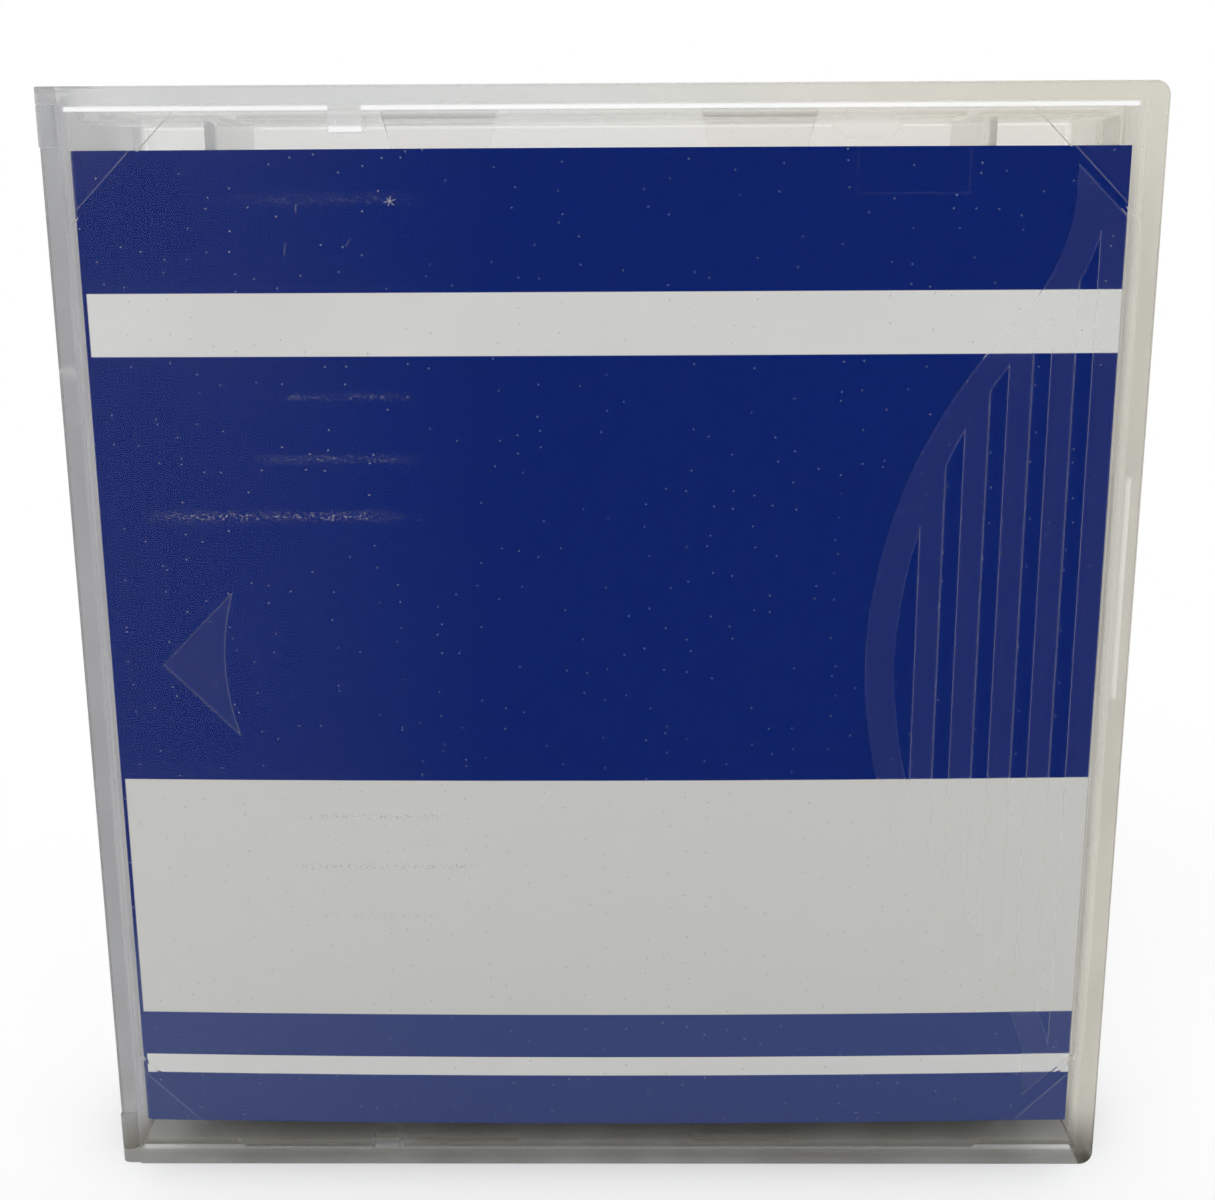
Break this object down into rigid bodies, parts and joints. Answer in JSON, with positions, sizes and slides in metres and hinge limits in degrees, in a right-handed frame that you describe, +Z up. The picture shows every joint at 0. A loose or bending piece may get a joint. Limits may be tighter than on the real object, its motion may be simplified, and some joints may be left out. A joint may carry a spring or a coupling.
{
  "type": "data tape cartridge in storage case",
  "caption": "Half-inch data tape cartridge with its reel, brake and leader pin, standing in a hinged clear storage case behind a printed inlay card.",
  "frame": {"origin": "middle of the closed case's footprint, on the surface that it stands on", "axes": "+Z up along the case's long side, -Y towards the lid and the viewer, +X towards the opening edge, hinge at -X"},
  "size_m": [0.112, 0.027, 0.1187],
  "materials": {
    "clear_case": "satin",
    "card": "satin",
    "shell": "textured",
    "reel": "gloss",
    "tape": "gloss",
    "brake": "satin",
    "steel": "brushed",
    "spring_steel": "bright",
    "clip": "satin",
    "switch": "satin",
    "chip": "satin",
    "label": "matte"
  },
  "bodies": {
    "case": {"case_base": "clear_case", "lower_shell": "shell", "upper_shell": "shell", "shell_screws": "steel", "leader_pin": "steel", "leader_clip": "clip", "pin_springs": "spring_steel", "leader_tape": "tape", "memory_chip": "chip", "cartridge_label": "label", "brake_spring": "spring_steel", "door_spring": "spring_steel"},
    "lid": {"case_lid": "clear_case", "inlay_card": "card"},
    "reel": {"reel_hub": "reel", "upper_flange": "reel", "drive_disc": "steel", "tape_pack": "tape"},
    "brake": {"brake_button": "brake"},
    "release": {"release_plate": "clip"},
    "door": {"access_door": "shell"},
    "write_switch": {"write_protect_switch": "switch"}
  },
  "joints": [
    {"name": "lid_hinge", "type": "hinge", "parent": "case", "child": "lid", "pos_m": [-0.0549, -0.0119, 0.05935], "axis": [0, 0, -1], "range_deg": [0, 180]},
    {"name": "reel_spin", "type": "hinge", "parent": "case", "child": "reel", "pos_m": [0, 0, 0.05775], "axis": [0, 1, 0], "continuous": true},
    {"name": "brake_lift", "type": "slide", "parent": "case", "child": "brake", "axis": [0, -1, 0], "range_m": [0, 0.002], "stiffness_N_per_m": 400, "springref_m": -0.003, "deforming": ["brake_spring"]},
    {"name": "release_lift", "type": "slide", "parent": "reel", "child": "release", "axis": [0, -1, 0], "range_m": [0, 0.002]},
    {"name": "door_slide", "type": "slide", "parent": "case", "child": "door", "axis": [0, 0, 1], "range_m": [0, 0.013], "stiffness_N_per_m": 30, "springref_m": -0.004, "deforming": ["door_spring"]},
    {"name": "write_protect", "type": "slide", "parent": "case", "child": "write_switch", "axis": [1, 0, 0], "range_m": [0, 0.0042]}
  ],
  "couplings": [
    {"joint": "release_lift", "follows": "brake_lift", "ratio": 1}
  ]
}
